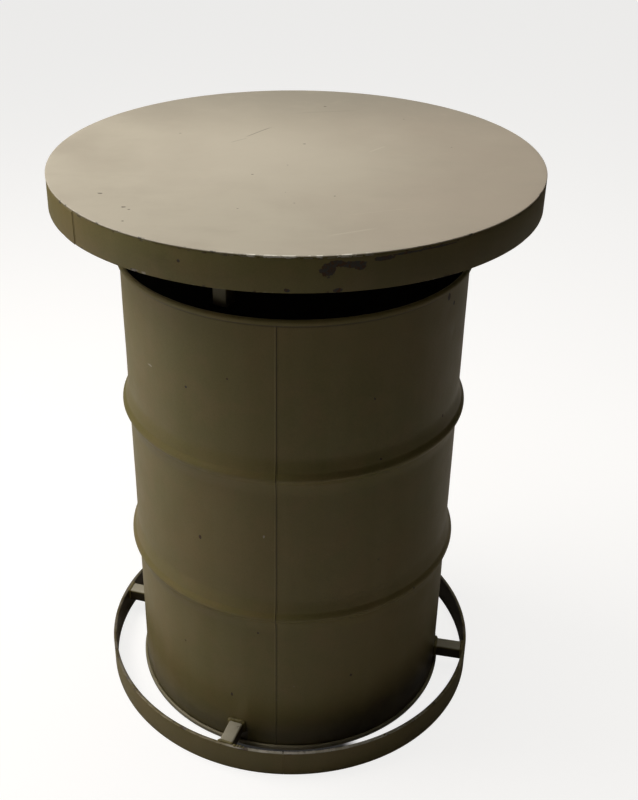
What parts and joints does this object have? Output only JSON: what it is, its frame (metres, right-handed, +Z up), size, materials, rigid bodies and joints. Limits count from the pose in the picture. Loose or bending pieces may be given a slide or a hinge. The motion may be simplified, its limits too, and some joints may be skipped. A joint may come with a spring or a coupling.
{
  "type": "oil drum bar table",
  "caption": "Bar-height table: round steel top with a deep rim on posts above a closed-head steel drum, with a flat-bar foot ring welded round its base.",
  "frame": {"origin": "on the floor, on the drum's axis", "axes": "+Z up through the middle of the top; -Y is the front, where the drum's seam weld is; +X is to the right seen from the front"},
  "size_m": [0.78, 0.78, 1.007],
  "materials": {
    "khaki_paint": "semi-gloss khaki-olive brush and spray paint, chipped and scuffed",
    "top_paint": "the same khaki paint, worn paler and duller by use, with scratches and stains",
    "zinc_plate": "dull zinc plate",
    "seal_rubber": "matt"
  },
  "bodies": {
    "table": {"drum_body": "khaki_paint", "drum_seam_weld": "khaki_paint", "top_head": "khaki_paint", "bottom_head": "khaki_paint", "top_chime_seal": "seal_rubber", "bottom_chime_seal": "seal_rubber", "bung_flange": "zinc_plate", "bung_flange_seal": "seal_rubber", "vent_flange": "zinc_plate", "vent_flange_seal": "seal_rubber", "post_1": "khaki_paint", "post_2": "khaki_paint", "post_3": "khaki_paint", "post_4": "khaki_paint", "post_foot_welds": "khaki_paint", "post_head_welds": "khaki_paint", "long_bearer": "khaki_paint", "half_bearer_1": "khaki_paint", "half_bearer_2": "khaki_paint", "bearer_welds": "khaki_paint", "table_plate": "top_paint", "rim_band": "khaki_paint", "rim_joint_weld": "khaki_paint", "plate_stitch_welds": "khaki_paint", "foot_ring": "khaki_paint", "foot_ring_joint_weld": "khaki_paint", "bracket_1": "khaki_paint", "bracket_2": "khaki_paint", "bracket_3": "khaki_paint", "bracket_4": "khaki_paint", "bracket_welds": "khaki_paint"},
    "bung_gasket_body": {"bung_gasket": "seal_rubber"},
    "bung_plug_body": {"bung_plug": "zinc_plate"},
    "vent_gasket_body": {"vent_gasket": "seal_rubber"},
    "vent_plug_body": {"vent_plug": "zinc_plate"}
  },
  "joints": [
    {"name": "bung_lift", "type": "slide", "parent": "table", "child": "bung_gasket_body", "axis": [0, 0, 1], "range_m": [0, 0.01386]},
    {"name": "bung_turn", "type": "hinge", "parent": "bung_gasket_body", "child": "bung_plug_body", "pos_m": [0.20329, 0.07, 0.847], "axis": [0, 0, 1], "range_deg": [0, 2160]},
    {"name": "vent_lift", "type": "slide", "parent": "table", "child": "vent_gasket_body", "axis": [0, 0, 1], "range_m": [0, 0.0127]},
    {"name": "vent_turn", "type": "hinge", "parent": "vent_gasket_body", "child": "vent_plug_body", "pos_m": [-0.20329, -0.07, 0.847], "axis": [0, 0, 1], "range_deg": [0, 2520]}
  ],
  "couplings": [
    {"joint": "bung_lift", "follows": "bung_turn", "m_per_rad": 0.0003675},
    {"joint": "vent_lift", "follows": "vent_turn", "m_per_rad": 0.00028875}
  ]
}
